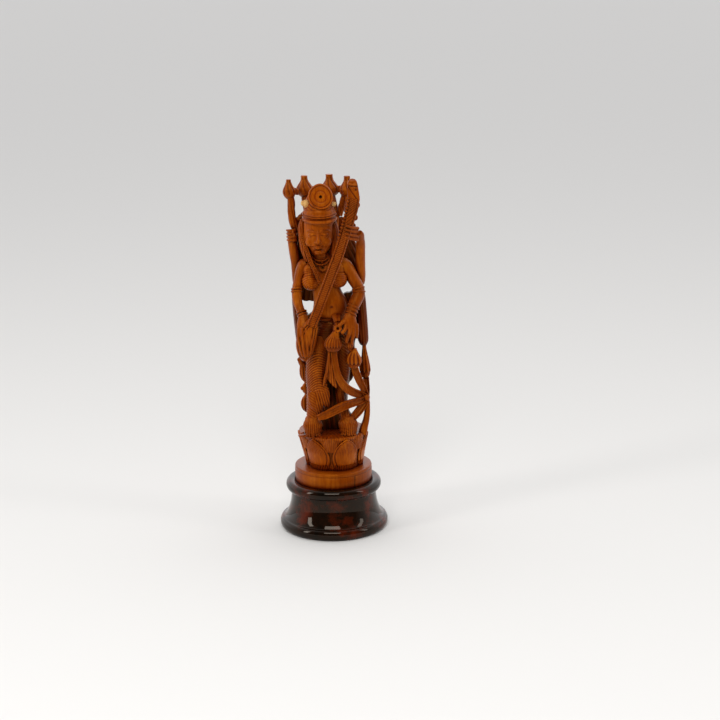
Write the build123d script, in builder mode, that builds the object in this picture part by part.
"""A carved wooden statuette: a four-armed sitar player on a lotus, on a turned and lacquered plinth.

The carving is one round log, split here at its natural lines into limbs, dress, instrument and
openwork, so that each can be used on its own. The origin is the centre of the plinth's underside,
+Z is up and the figure looks along -Y. Millimetres throughout.
"""

import os
from math import atan, cos, radians, sin

from build123d import *

# Driving dimensions: plinth and disc
plinth_height = 42.0
foot_radius = 46.5
foot_bead = 9.0
waist_radius = 36.4
collar_overhang = 7.9
collar_thickness = 9.0
recess_depth = 1.0
recess_clearance = 0.2
underside_dish = 2.5
dish_margin = 5.5
disc_radius = 33.0
disc_thickness = 14.0
disc_step = 1.4
collar_radius = disc_radius + collar_overhang

# Driving dimensions: the screw that holds the plinth to the disc
screw_radius = 2.0
screw_head_radius = 4.2
screw_head_height = 2.6
screw_bite = 10.0
screw_clearance = 0.3
counterbore_depth = 9.0

# Driving dimensions: lotus throne
lotus_height = 31.0
lotus_foot_radius = 22.0
lotus_rim_radius = 27.5
lotus_floor_drop = 2.0
petal_count = 6
petal_width = 24.0
petal_thickness = 4.2
petal_turn = 25.0
inner_petal_width = 13.0
inner_petal_height = 12.0

# Driving dimensions: the figure, its lean and its sitar
figure_height = 215.0
lean_slope = 0.038
sitar_neck_width = 8.8
sitar_neck_thickness = 4.4
fret_count = 13
fret_pitch = 2.1
lowest_fret = 170.5
fret_radius = 0.9
peg_radius = 1.6
peg_length = 2.4
bud_neck_radius = 2.7
ribbon_thickness = 2.6
bracelet_wire = 0.9

drawn_height = 215.0  # the height at which the figure's points are given
carve = figure_height / drawn_height
disc_bottom = plinth_height - recess_depth
disc_top = disc_bottom + disc_thickness
lotus_top = disc_top + lotus_height
UP = (0, 0, 1)


def at(x, y, z):
    """A point of the figure: across, towards the back and above the lotus, before the log's lean."""
    return Vector(carve * (x - lean_slope * z), carve * y, lotus_top + carve * z)


def oval(place, wide, deep, along=UP, side=(1, 0, 0)):
    """An elliptical section, wide along side and deep across it, facing along."""
    along = Vector(*along).normalized()
    side = Vector(*side)
    side = (side - along * side.dot(along)).normalized()
    with BuildSketch(Plane(origin=place, x_dir=side, z_dir=along)) as section:
        Ellipse(carve * wide, carve * deep)
    return section.sketch


def trunk(stations):
    """Level sections of a body form, each given as (x, y, z, half width, half depth)."""
    return [oval(at(x, y, z), wide, deep) for x, y, z, wide, deep in stations]


def headings(points):
    """The direction of travel at each point of a path."""
    last = len(points) - 1
    return [
        (points[min(i + 1, last)] - points[max(i - 1, 0)]).normalized() for i in range(last + 1)
    ]


def limb(stations):
    """Round sections square to a path, each given as (x, y, z, radius)."""
    points = [at(*station[:3]) for station in stations]
    return [
        oval(point, station[3], station[3], heading)
        for point, station, heading in zip(points, stations, headings(points))
    ]


def band(stations, thickness=ribbon_thickness):
    """Flat oval sections square to a path, each given as (x, y, z, width); the flat side faces out."""
    points = [at(*station[:3]) for station in stations]
    sections = []
    for point, station, heading in zip(points, stations, headings(points)):
        outward = Vector(station[0], station[1] - 6, 0).normalized()
        side = outward.cross(heading)
        sections.append(oval(point, station[3] / 2, thickness / 2, heading, side))
    return sections


def cut_to_fit(*neighbours):
    """Takes the neighbours' solids out of the part being built, so that it meets them face to face."""
    for neighbour in neighbours:
        add(neighbour.part, mode=Mode.SUBTRACT)


pieces = {}


def keep(name, builder):
    """Labels a finished piece and lists it for writing."""
    builder.part.label = name
    pieces[name] = builder.part


# ---- Plinth: one turned piece, dished below, counterbored for the screw, recessed above for the disc
with BuildPart() as plinth:
    with BuildSketch(Plane.XZ):
        with BuildLine():
            collar_bottom = plinth_height - collar_thickness
            dish_radius = foot_radius - dish_margin
            seat_radius = disc_radius + recess_clearance
            foot = Line((dish_radius, 0), (foot_radius - 2.5, 0))
            bead = ThreePointArc(
                foot @ 1, (foot_radius, foot_bead / 2), (foot_radius - 2.5, foot_bead)
            )
            step = Line(bead @ 1, (foot_radius - 4.5, foot_bead + 0.8))
            cove = ThreePointArc(
                step @ 1,
                (waist_radius + 1.6, foot_bead + 7.5),
                (waist_radius, collar_bottom - 3.5),
            )
            rise = Line(cove @ 1, (waist_radius + 0.3, collar_bottom))
            under = Line(rise @ 1, (collar_radius - 3.2, collar_bottom + 0.2))
            edge = ThreePointArc(
                under @ 1,
                (collar_radius, collar_bottom + collar_thickness * 0.5),
                (collar_radius - 2.4, plinth_height),
            )
            Polyline(
                edge @ 1,
                (seat_radius, plinth_height),
                (seat_radius, disc_bottom),
                (0, disc_bottom),
                (0, underside_dish),
                (dish_radius, underside_dish),
                (dish_radius, 0),
            )
        make_face()
    revolve(axis=Axis.Z)
    with Locations(Plane.XY.offset(underside_dish).rotated((180, 0, 0))):
        CounterBoreHole(
            radius=screw_radius + screw_clearance,
            counter_bore_radius=screw_head_radius + screw_clearance,
            counter_bore_depth=counterbore_depth,
        )
keep("plinth", plinth)

# ---- Wood screw: head in the plinth's counterbore, shank through the plinth and into the disc
head_seat = underside_dish + counterbore_depth
with BuildPart() as fixing_screw:
    with BuildSketch(Plane.XZ):
        with BuildLine():
            tip = disc_bottom + screw_bite
            Polyline(
                (0, head_seat - screw_head_height),
                (screw_head_radius, head_seat - screw_head_height),
                (screw_head_radius, head_seat),
                (screw_radius, head_seat),
                (screw_radius, tip - 2 * screw_radius),
                (0, tip),
                (0, head_seat - screw_head_height),
            )
        make_face()
    revolve(axis=Axis.Z)
    with BuildSketch(Plane.XY.offset(head_seat - screw_head_height)):
        Rectangle(2 * screw_head_radius, 1.0)
    extrude(amount=1.1, mode=Mode.SUBTRACT)
keep("fixing_screw", fixing_screw)

# ---- Disc: the log's foot, with a shallow step turned round its top edge
with BuildPart() as base_disc:
    with BuildSketch(Plane.XY.offset(disc_bottom)):
        Circle(disc_radius)
    extrude(amount=disc_thickness - disc_step)
    with BuildSketch(Plane.XY.offset(disc_top - disc_step)):
        Circle(disc_radius - disc_step)
    extrude(amount=disc_step)
    cut_to_fit(fixing_screw)
keep("base_disc", base_disc)

# ---- Lotus: a flared cup with its petals lying against it
with BuildPart() as lotus_core:
    with BuildSketch(Plane.XY.offset(disc_top)):
        Circle(lotus_foot_radius)
    with BuildSketch(Plane.XY.offset(lotus_top - lotus_floor_drop)):
        Circle(lotus_rim_radius)
    loft()
keep("lotus_core", lotus_core)

petal_slope = atan((lotus_rim_radius - lotus_foot_radius) / lotus_height)
petal_length = lotus_height / cos(petal_slope)


def petal_outline(width, height):
    """A pointed petal: two arcs that meet at the tip, on a straight foot."""
    foot_half = 0.34 * width
    with BuildLine() as outline:
        Line((-foot_half, 0), (foot_half, 0))
        ThreePointArc((foot_half, 0), (width / 2, 0.45 * height), (0, height))
        ThreePointArc((0, height), (-width / 2, 0.45 * height), (-foot_half, 0))
    return outline.line


def place_round(turn, radius, height=0):
    """A plane whose x runs round the lotus, whose y rises with its side and whose z faces out."""
    facing = Vector(sin(radians(turn)), -cos(radians(turn)), 0)
    outward = facing * cos(petal_slope) - Vector(0, 0, sin(petal_slope))
    side = Vector(cos(radians(turn)), sin(radians(turn)), 0)
    place = facing * radius + Vector(0, 0, disc_top + height)
    return Plane(origin=place, x_dir=side, z_dir=outward)


with BuildPart() as lotus_petals:
    for number in range(petal_count):
        turn = petal_turn + number * 360 / petal_count
        with BuildSketch(place_round(turn, lotus_foot_radius - 1.2)):
            add(petal_outline(petal_width, petal_length))
            make_face()
        extrude(amount=petal_thickness)
    split(bisect_by=Plane.XY.offset(disc_top), keep=Keep.TOP)
    cut_to_fit(lotus_core)
keep("lotus_petals", lotus_petals)

inner_petal_rise = lotus_height - inner_petal_height
inner_petal_radius = lotus_rim_radius - (inner_petal_height + petal_thickness) * sin(petal_slope) - 1.2
with BuildPart() as lotus_inner_petals:
    for number in range(petal_count):
        turn = petal_turn + (number + 0.5) * 360 / petal_count
        with BuildSketch(place_round(turn, inner_petal_radius, inner_petal_rise)):
            add(petal_outline(inner_petal_width, inner_petal_height))
            make_face()
        extrude(amount=petal_thickness)
    cut_to_fit(lotus_core, lotus_petals)
keep("lotus_inner_petals", lotus_inner_petals)

# ---- Legs, hips and the panel of cloth behind them
with BuildPart() as right_hem:
    loft(sections=trunk([(-16.5, -15, 0.2, 5, 5), (-16.5, -15, 4, 8.2, 8), (-16.5, -15, 10, 8.4, 8),
                         (-16, -14, 16, 5, 5.5)]))
    cut_to_fit(lotus_core)
keep("right_hem", right_hem)

with BuildPart() as left_hem:
    loft(sections=trunk([(12.5, -15, 0.2, 5, 5), (12.5, -15, 4, 8.4, 8), (12.5, -15, 10, 8.6, 8),
                         (12.0, -14, 16.5, 5.5, 5.5)]))
    cut_to_fit(lotus_core)
keep("left_hem", left_hem)

with BuildPart() as hips:
    loft(sections=trunk([(1.5, -1, 72, 15.5, 10), (2.5, -1, 84, 16, 11), (2.8, -1.5, 93, 15, 10.5),
                         (2.6, -2, 101, 13.5, 9.5)]))
keep("hips", hips)

with BuildPart() as right_leg:
    loft(sections=trunk([(-15, -12, 15, 6, 6), (-13.5, -9.5, 26, 7.5, 8), (-11.2, -8, 40, 9, 9.5),
                         (-10.6, -8, 54, 9.4, 10), (-8.5, -5, 66, 9, 9), (-7, -3, 76, 8, 8)]))
    cut_to_fit(right_hem, hips)
keep("right_leg", right_leg)

with BuildPart() as left_leg:
    loft(sections=trunk([(11.5, -12, 15, 5, 5), (10, -8, 26, 4.8, 5.5), (10.4, -5, 42, 5.2, 6.5),
                         (10.6, -4, 58, 6, 7.5), (9.5, -3, 76, 7, 8)]))
    cut_to_fit(left_hem, hips)
keep("left_leg", left_leg)

with BuildPart() as skirt_back:
    loft(sections=trunk([(-2, 5, -1.8, 16.5, 7), (-2.6, 5, 14, 13.4, 6.5), (-0.6, 5, 28, 15, 6.5),
                         (0, 5, 38, 15, 6.8), (3.4, 5, 49, 17.4, 7), (4.8, 5, 60, 19, 7.4),
                         (4.6, 5, 72, 18.8, 7.6), (5.2, 5, 86, 19.4, 7.4), (4.6, 5.5, 99, 17, 6.5)]))
    cut_to_fit(lotus_core, right_leg, left_leg, hips, right_hem, left_hem)
keep("skirt_back", skirt_back)

# ---- Torso, neck and head
with BuildPart() as torso:
    loft(sections=trunk([(2.6, -2, 101, 13.5, 9.5), (2.4, -2, 109, 12.3, 8.8),
                         (1.2, -2.5, 118, 12.2, 8.8), (-0.4, -3, 128, 14, 9.5),
                         (0, -2.5, 137, 16, 9), (0.5, -2, 143, 16.5, 7.5), (-1.2, -3, 148, 9.5, 7)]))
    for x in (-8.9, 9.8):
        with Locations(at(x, -9.5, 131)):
            Sphere(carve * 8)
keep("torso", torso)

with BuildPart() as neck:
    loft(sections=trunk([(-1.6, -3.4, 148, 6.6, 5.8), (-2.2, -4.5, 153, 6, 5.6), (-2.8, -6, 161, 6.2, 6)]))
keep("neck", neck)

with BuildPart() as head:
    loft(sections=trunk([(-3.4, -15, 154.6, 3, 3), (-3.2, -12.5, 158, 7.5, 7.5),
                         (-2.8, -9.5, 164, 11.3, 11), (-2.4, -8, 171, 12.6, 12.6),
                         (-1.8, -7.5, 180, 12.6, 12.8), (-1.2, -7, 185, 12, 12)]))
    cut_to_fit(neck)
keep("head", head)

with BuildPart() as ears:
    for x, y, z in ((-14.6, -5, 166), (9.6, -4, 167)):
        loft(sections=trunk([(x, y, z - 7, 1.2, 1.4), (x, y, z - 3, 2.4, 2.8), (x, y, z + 3, 2.4, 3),
                             (x, y, z + 7, 1.2, 1.6)]))
    cut_to_fit(head)
keep("ears", ears)

# ---- Crown: a rolled band, a dome, side knobs and the round rosette in front
with BuildPart() as crown_band:
    loft(sections=trunk([(-1.0, -7.2, 178.8, 13.2, 13.0), (-1.0, -7.2, 181, 14.4, 14.2),
                         (-0.8, -7, 184.5, 14.2, 14), (-0.6, -6.8, 187, 12.6, 12.4)]))
    cut_to_fit(head)
keep("crown_band", crown_band)

with BuildPart() as crown_dome:
    loft(sections=trunk([(-0.6, -6.6, 187, 12.4, 12.2), (-0.2, -6, 192, 11.6, 11.2),
                         (0.4, -5, 199, 9.6, 9), (0.8, -4, 206, 6, 5.5), (0.9, -3.6, 208.5, 2.4, 2.2)]))
    cut_to_fit(crown_band)
keep("crown_dome", crown_dome)

rosette_centre = at(1.0, -16, 200)
with BuildPart() as crown_rosette:
    with BuildSketch(Plane(origin=rosette_centre, x_dir=(1, 0, 0), z_dir=(0, -1, 0.12))):
        Circle(carve * 9.9)
    extrude(amount=carve * 2.2, both=True)
    with BuildSketch(Plane(origin=rosette_centre, x_dir=(1, 0, 0), z_dir=(0, -1, 0.12))):
        Circle(carve * 7.5)
    extrude(amount=carve * 3.6)
    with BuildSketch(Plane(origin=rosette_centre, x_dir=(1, 0, 0), z_dir=(0, 1, -0.12))):
        Circle(carve * 7)
    extrude(amount=carve * 12)
    cut_to_fit(crown_dome, crown_band)
keep("crown_rosette", crown_rosette)

with BuildPart() as crown_knobs:
    for x, facing in ((-15.6, 1), (14.8, -1)):
        with Locations(Plane(origin=at(x, -8.6, 194.5), z_dir=(facing, 0, 0))):
            Cone(carve * 1.4, carve * 2.3, carve * 6.4, align=(Align.CENTER, Align.CENTER, Align.MIN))
    cut_to_fit(crown_dome)
keep("crown_knobs", crown_knobs)

with BuildPart() as hair_bun:
    loft(sections=trunk([(-2, 5, 154, 7, 4), (-2, 6, 160, 10, 5.5), (-1.5, 6, 170, 11.5, 6),
                         (-1.2, 5.5, 178, 10, 5)]))
    cut_to_fit(head, neck, torso, crown_band)
keep("hair_bun", hair_bun)

# ---- Arms: the front pair plays and rests, the rear pair is raised
with BuildPart() as front_right_arm:
    loft(sections=limb([(-13, -3, 141, 5), (-18.5, -4.5, 136, 4.8), (-23, -7, 127, 4.2),
                        (-24.6, -9.5, 119, 4.2), (-22.6, -13, 110, 3.9), (-18.6, -16.5, 102, 3.1)]))
    cut_to_fit(torso)
keep("front_right_arm", front_right_arm)

with BuildPart() as front_left_arm:
    loft(sections=limb([(14, -4, 141, 5), (20, -6, 135, 4.6), (26.4, -8.5, 126, 4.4),
                        (28.6, -10.5, 119, 4.8), (25.6, -14, 111, 4.6), (20.6, -17, 104, 3.7)]))
    cut_to_fit(torso)
keep("front_left_arm", front_left_arm)

with BuildPart() as rear_right_arm:
    loft(sections=limb([(-12, 3, 140, 4.6), (-19, 5.5, 131.5, 4.2), (-24.5, 6, 125, 3.8)]))
    loft(sections=limb([(-24.5, 6, 125, 3.8), (-26, 4.4, 136, 3.7), (-26.4, 3, 149, 3.4),
                        (-25.8, 2, 161, 2.9)]))
    with Locations(at(-24.5, 6, 125)):
        Sphere(carve * 4.1)
    cut_to_fit(torso, front_right_arm)
keep("rear_right_arm", rear_right_arm)

with BuildPart() as rear_left_arm:
    loft(sections=limb([(13, 3, 140, 4.8), (20, 4.5, 131.5, 4.8), (26, 4, 126, 4.8)]))
    loft(sections=limb([(26, 4, 126, 4.8), (27.2, 1, 136, 5.2), (27.6, -3, 148, 5), (27.4, -6.5, 159, 4)]))
    with Locations(at(26, 4, 126)):
        Sphere(carve * 5.1)
    cut_to_fit(torso, front_left_arm)
keep("rear_left_arm", rear_left_arm)

# ---- Mantle: cloth and hair spread behind the head and shoulders, between the raised arms
with BuildPart() as back_shawl:
    loft(sections=trunk([(-4.6, 9, 112, 15.6, 3.6), (-4.6, 9, 122, 17.6, 4.4), (-4.4, 9, 140, 18.6, 4.8),
                         (-4, 9, 158, 18.4, 4.8), (-4.4, 8.6, 172, 17.4, 4.4), (-4.6, 8, 182, 14.4, 3.4)]))
    loft(sections=trunk([(14, 9, 129.5, 13.2, 4.2), (14, 9, 140, 14.4, 4.6), (14, 9, 156, 14, 4.6),
                         (12, 8.6, 168, 13, 4.2), (8, 8, 177, 10.5, 3.2)]))
    cut_to_fit(torso, neck, head, ears, hair_bun, crown_band, crown_dome)
    cut_to_fit(front_right_arm, front_left_arm, rear_right_arm, rear_left_arm)
keep("back_shawl", back_shawl)

# ---- Sitar: a long neck with frets, a drop-shaped body, a peg head and its pegs
neck_line = [(-11.5, -26.8, 93), (-5.6, -27.6, 106), (-0.9, -27.8, 118), (5.4, -27.2, 133),
             (12.2, -25.6, 151), (18.4, -21.4, 167), (23.6, -16.4, 183), (26.6, -13.0, 198)]


def plank(points, width, thickness):
    """Flat rectangular sections square to a path, with the wide face out."""
    places = [at(*point) for point in points]
    sections = []
    for place, point, heading in zip(places, points, headings(places)):
        side = Vector(point[0], point[1] - 6, 0).normalized().cross(heading)
        with BuildSketch(Plane(origin=place, x_dir=side, z_dir=heading)) as section:
            Rectangle(width, thickness)
        sections.append(section.sketch)
    return sections


with BuildPart() as sitar_neck:
    loft(sections=plank(neck_line, sitar_neck_width, sitar_neck_thickness))
    cut_to_fit(torso, head, rear_left_arm)
keep("sitar_neck", sitar_neck)


def on_neck(height, across, out):
    """A point at a height on the sitar's neck, moved across it and out from its middle."""
    below = max(i for i, point in enumerate(neck_line[:-1]) if point[2] <= height)
    low, high = at(*neck_line[below]), at(*neck_line[below + 1])
    share = (height - neck_line[below][2]) / (neck_line[below + 1][2] - neck_line[below][2])
    heading = (high - low).normalized()
    x, y, _ = neck_line[below]
    outward = Vector(x, y - 6, 0).normalized()
    side = outward.cross(heading).normalized()
    return low + (high - low) * share + side * across + heading.cross(side) * -out

with BuildPart() as sitar_body:
    loft(sections=trunk([(-19.4, -19, 65, 3, 2.5), (-18.8, -19.6, 69, 6, 4.5),
                         (-17.6, -20.6, 78, 7.9, 5.8), (-16.2, -21.4, 88, 7.8, 5.8),
                         (-13.2, -22.6, 96, 5.6, 4.4), (-11.4, -22.4, 101, 3.8, 2.6)]))
    cut_to_fit(sitar_neck, right_leg, hips)
keep("sitar_body", sitar_body)

with BuildPart() as sitar_head:
    loft(sections=limb([(26.6, -13, 198, 4.4), (27.8, -11.5, 205, 4.4), (27.6, -10, 211, 3.6),
                        (25.2, -11, 213.6, 2.4)]))
    cut_to_fit(sitar_neck)
keep("sitar_head", sitar_head)

with BuildPart() as sitar_frets:
    for number in range(fret_count):
        height = lowest_fret + fret_pitch * number
        root = on_neck(height, 0.3 * sitar_neck_width, 0.2 * sitar_neck_thickness)
        tip = on_neck(height, 0.3 * sitar_neck_width, 0.5 * sitar_neck_thickness + carve * fret_radius)
        with Locations(Plane(origin=root, z_dir=tip - root)):
            Cylinder(carve * fret_radius, (tip - root).length, align=(Align.CENTER, Align.CENTER, Align.MIN))
    cut_to_fit(sitar_neck)
keep("sitar_frets", sitar_frets)

with BuildPart() as sitar_pegs:
    for height in (179, 187, 195):
        root = on_neck(height, -0.4 * sitar_neck_width, 0)
        tip = on_neck(height, -0.5 * sitar_neck_width - peg_length, 0)
        with Locations(Plane(origin=root, z_dir=tip - root)):
            Cylinder(0.6 * peg_radius, (tip - root).length, align=(Align.CENTER, Align.CENTER, Align.MIN))
        with Locations(tip):
            Sphere(peg_radius)
    cut_to_fit(sitar_neck)
keep("sitar_pegs", sitar_pegs)

# ---- Hands
with BuildPart() as front_right_hand:
    loft(sections=band([(-18.6, -17, 102, 6), (-18, -23.5, 95, 9.5), (-17.8, -27, 86, 9),
                        (-18.2, -27.5, 76, 5)], 4.4))
    cut_to_fit(front_right_arm, sitar_body, sitar_neck)
keep("front_right_hand", front_right_hand)

with BuildPart() as front_left_hand:
    loft(sections=band([(20.6, -17, 104, 7.2), (19.6, -19.5, 97, 9), (19.2, -20.5, 90, 9),
                        (19.4, -20, 82, 5)], 5))
    cut_to_fit(front_left_arm)
keep("front_left_hand", front_left_hand)

with BuildPart() as rear_right_hand:
    loft(sections=trunk([(-25.8, 1.5, 160.5, 2.8, 2.8), (-25.6, 0.5, 163, 4, 4), (-25.4, 0, 168, 4.4, 4.6),
                         (-25.2, 0.5, 172.5, 3.2, 3.4)]))
    cut_to_fit(rear_right_arm, back_shawl)
keep("rear_right_hand", rear_right_hand)

with BuildPart() as rear_left_hand:
    loft(sections=band([(27.4, -6.8, 158.5, 7.5), (26.6, -13.5, 163, 9.5), (24.2, -20.5, 168, 9),
                        (20.4, -23.5, 170.5, 6)], 4.4))
    cut_to_fit(rear_left_arm, sitar_neck, sitar_frets, back_shawl)
keep("rear_left_hand", rear_left_hand)

# ---- Jewellery and hair in front
with BuildPart() as necklace:
    for z, wide, deep in ((148.3, 8.6, 7.4), (150.6, 7.8, 6.9)):
        with BuildSketch(Plane(origin=at(-1.8, -3.8, z))):
            Ellipse(carve * wide, carve * deep)
        extrude(amount=carve * 1.7)
    cut_to_fit(neck, torso)
keep("necklace", necklace)

with BuildPart() as pendant:
    with BuildSketch(Plane(origin=at(-1.2, -8, 141.4), x_dir=(1, 0, 0), z_dir=(0, -1, 0.25))):
        Circle(carve * 3.0)
        Circle(carve * 0.9, mode=Mode.SUBTRACT)
    extrude(amount=carve * 4.2)
    cut_to_fit(torso)
keep("pendant", pendant)

with BuildPart() as hair_lock:
    loft(sections=limb([(-13.4, -13, 157, 1.8), (-11.6, -12.6, 148, 1.8), (-9.6, -13.4, 141, 1.8),
                        (-5.2, -16.5, 131, 1.8), (-2.6, -18.4, 125, 1.6)]))
    cut_to_fit(torso, head, ears, neck, necklace)
keep("hair_lock", hair_lock)

with BuildPart() as bracelets:
    wrists = ((-19.4, -15.8, 103.5, 3.3, (0.35, -0.35, -0.8)), (21.4, -16.6, 105, 3.8, (-0.5, -0.3, -0.8)),
              (27.4, -9.4, 122.6, 4.6, (0.35, -0.3, -0.9)), (-24.1, -8.2, 123.4, 4.2, (-0.2, -0.3, -0.9)))
    for x, y, z, radius, heading in wrists:
        for offset in (-1.1, 1.1):
            centre = at(x, y, z) + Vector(*heading).normalized() * carve * offset
            with Locations(Plane(origin=centre, z_dir=heading)):
                Torus(carve * radius, carve * bracelet_wire)
    cut_to_fit(front_right_arm, front_left_arm, front_right_hand, front_left_hand, torso)
keep("bracelets", bracelets)

# ---- Dress: knot, tassels, apron and the ribbons that blow to the right
with BuildPart() as waist_knot:
    with BuildSketch(Plane(origin=at(9.6, -8, 92), x_dir=(1, 0, 0), z_dir=(0, -1, 0.05))):
        Circle(carve * 4.6)
        Circle(carve * 1.0, mode=Mode.SUBTRACT)
    extrude(amount=carve * 13.6)
    cut_to_fit(hips)
keep("waist_knot", waist_knot)

with BuildPart() as centre_tassel:
    loft(sections=trunk([(7.2, -19.5, 88, 3.4, 3), (5.6, -20.5, 82, 6.2, 4.6), (4.6, -21, 75, 7.6, 5),
                         (4.4, -20.6, 73, 6, 4)]))
    cut_to_fit(waist_knot, hips, right_leg, left_leg)
keep("centre_tassel", centre_tassel)

with BuildPart() as small_tassel:
    loft(sections=trunk([(17.6, -17, 87, 1.8, 1.8), (17.6, -17.6, 81, 3.8, 3.6), (17.8, -17.4, 75, 3.4, 3.2),
                         (18, -17, 72, 1.6, 1.6)]))
    cut_to_fit(front_left_hand, hips, left_leg, skirt_back)
keep("small_tassel", small_tassel)

with BuildPart() as front_tassel:
    loft(sections=trunk([(19.6, -16, 74.5, 1.8, 1.8), (20.6, -16.4, 70, 4.2, 4), (21.4, -16.6, 63, 6.6, 5.4),
                         (21.6, -16.4, 59.5, 5.4, 4.6), (21.6, -16, 57.5, 3, 2.6)]))
    cut_to_fit(small_tassel, left_leg, front_left_hand, skirt_back)
keep("front_tassel", front_tassel)

with BuildPart() as rear_tassel:
    loft(sections=trunk([(29.4, 2, 72.5, 2, 2), (29.6, 1, 66, 2.6, 3), (29.8, 0, 54, 3.8, 5),
                         (30, -0.5, 46, 3.2, 4.4), (30, -0.5, 43.5, 1.4, 2)]))
    cut_to_fit(skirt_back)
keep("rear_tassel", rear_tassel)

with BuildPart() as left_garland:
    loft(sections=trunk([(-23.4, 4.5, 59.5, 2.2, 2.4), (-23.2, 4.5, 56, 3.2, 3.6), (-23, 4.5, 48, 4, 4.4),
                         (-22.8, 4.5, 42, 2.2, 2.4), (-22.8, 4.5, 39, 1.6, 1.8)]))
    loft(sections=trunk([(-22.8, 4.5, 39, 1.6, 1.8), (-23, 4.5, 35, 3, 3.2), (-22.8, 4.5, 31, 2.2, 2.4),
                         (-22.6, 4.5, 28, 1.6, 1.8)]))
    loft(sections=trunk([(-22.6, 4.5, 28, 1.6, 1.8), (-23.4, 4.5, 23, 4, 4.4), (-23, 4.5, 16, 3.8, 4.2),
                         (-21.6, 4.5, 11.5, 2.2, 2.4)]))
    cut_to_fit(right_leg, skirt_back)
keep("left_garland", left_garland)

with BuildPart() as apron:
    loft(sections=band([(3, -15, 76, 9), (1.5, -15.8, 66, 9.5), (-0.5, -16, 54, 10), (1, -15, 42, 6),
                        (2.6, -14, 36, 2)], 2.4))
    cut_to_fit(centre_tassel, right_leg, left_leg, hips, skirt_back)
keep("apron", apron)

with BuildPart() as ribbon_knot:
    with Locations(at(30, -8, 30.5)):
        Sphere(carve * 4.2)
keep("ribbon_knot", ribbon_knot)

ribbons = (
    ("centre_ribbon", [(6.2, -21, 75.5, 5), (6.6, -21.5, 66, 5), (8.6, -21.5, 54, 5.2), (13.4, -20, 43.5, 5.4),
                       (21, -15.5, 36.4, 4.6), (28.6, -9.2, 31.8, 2.4)]),
    ("tassel_ribbon", [(21.6, -15.8, 59, 3.6), (23.4, -13, 51, 4.2), (26.6, -9.5, 42.5, 3.6), (29.6, -7.8, 32.4, 2.4)]),
    ("edge_ribbon_top", [(29.8, -0.6, 45.5, 3.6), (30.6, -3, 39, 4.6), (30.6, -6.5, 32.5, 4)]),
    ("edge_ribbon_end", [(30.4, -8, 29, 4), (30.2, -8.6, 20, 5), (28.6, -9, 10, 5), (26.6, -9.4, 0.8, 4)]),
    ("sweep_ribbon", [(29, -9.2, 28.6, 2.4), (20, -19.5, 26, 5), (9, -25, 25.5, 7), (0, -26, 20, 7.2),
                      (-6.5, -25.6, 15.5, 6)]),
    ("link_ribbon", [(29.4, -7.4, 28.6, 2.4), (24, -10.5, 21.5, 3.6), (19, -14.5, 16.5, 4.2), (16, -15, 13, 4)]),
)
tied = [ribbon_knot, skirt_back, right_leg, left_leg, right_hem, left_hem, centre_tassel, apron, front_tassel,
        rear_tassel, lotus_petals, lotus_core]
for ribbon_name, route in ribbons:
    with BuildPart() as ribbon:
        loft(sections=band(route))
        cut_to_fit(*tied)
    keep(ribbon_name, ribbon)
    tied.append(ribbon)

# ---- Shawl ends at each side, lotus stems and buds behind the head
with BuildPart() as right_shawl:
    loft(sections=band([(-25.6, 8.5, 120.6, 4), (-25.6, 5, 108, 7), (-25, 2, 94, 9), (-24.6, 1, 78, 9),
                        (-23.6, 4, 59.8, 4)], 3.2))
    cut_to_fit(rear_right_arm, front_right_arm, back_shawl, skirt_back)
keep("right_shawl", right_shawl)

with BuildPart() as left_shawl:
    loft(sections=band([(28, 7, 122, 6), (28.4, 6, 112, 10), (28.6, 4, 96, 12), (28.6, 3, 82, 12),
                        (29, 2, 72, 5)], 4))
    cut_to_fit(rear_left_arm, front_left_arm, front_left_hand, rear_tassel, hips, skirt_back)
keep("left_shawl", left_shawl)

with BuildPart() as lotus_stems:
    for route in (
        [(-25.4, 0, 170, 2.4), (-26.6, 0.5, 178, 2.6), (-26.8, 1.5, 188, 3), (-25.4, 2, 199, 2.6)],
        [(-11, 9, 170, 3), (-14, 12, 182, 3), (-15, 15, 192, 3), (-12.6, 16, 200, 3)],
        [(9, 9, 168, 3.2), (12.6, 12, 180, 3), (13.6, 16, 190, 3), (9, 18, 200, 3.4)],
        [(14, 8, 166, 3.2), (18, 9, 178, 3), (20.2, 10, 188, 3), (22.6, 10, 200, 3.2)],
    ):
        loft(sections=limb(route))
    cut_to_fit(rear_right_hand, head, hair_bun, crown_band, crown_dome, sitar_neck, sitar_frets, ears)
    cut_to_fit(back_shawl)
keep("lotus_stems", lotus_stems)

bud_places = ((-25, 2, 4.7), (-12.4, 16, 6.9), (7.4, 18.5, 7.9), (23.6, 9.5, 6.9))


def bud_profile(place, wide):
    """Half of a bud's upright section: a pointed foot, a round bulb and a cut stub above it."""
    with BuildSketch(Plane(origin=place, x_dir=(1, 0, 0), z_dir=(0, -1, 0))) as half:
        with BuildLine():
            stub_foot = drawn_height - 198 - 5.0
            belly = Spline(
                (0, 0), (0.9 * wide, 3.4), (wide, 6), (0.62 * wide, 9.4), (bud_neck_radius, stub_foot)
            )
            upper = Line(belly @ 1, (bud_neck_radius * 1.15, drawn_height - 198))
            top = Line(upper @ 1, (0, drawn_height - 198))
            Line(top @ 1, (0, 0))
        make_face()
    return half.sketch


with BuildPart() as lotus_buds:
    for x, y, wide in bud_places:
        foot = at(x, y, 198)
        revolve(bud_profile(foot, wide), axis=Axis(foot, UP))
    cut_to_fit(lotus_stems, sitar_head)
keep("lotus_buds", lotus_buds)

os.makedirs("parts", exist_ok=True)
for name, piece in pieces.items():
    export_step(piece, f"parts/{name}.step")
    print(name, piece.is_valid, len(piece.solids()), round(piece.volume))
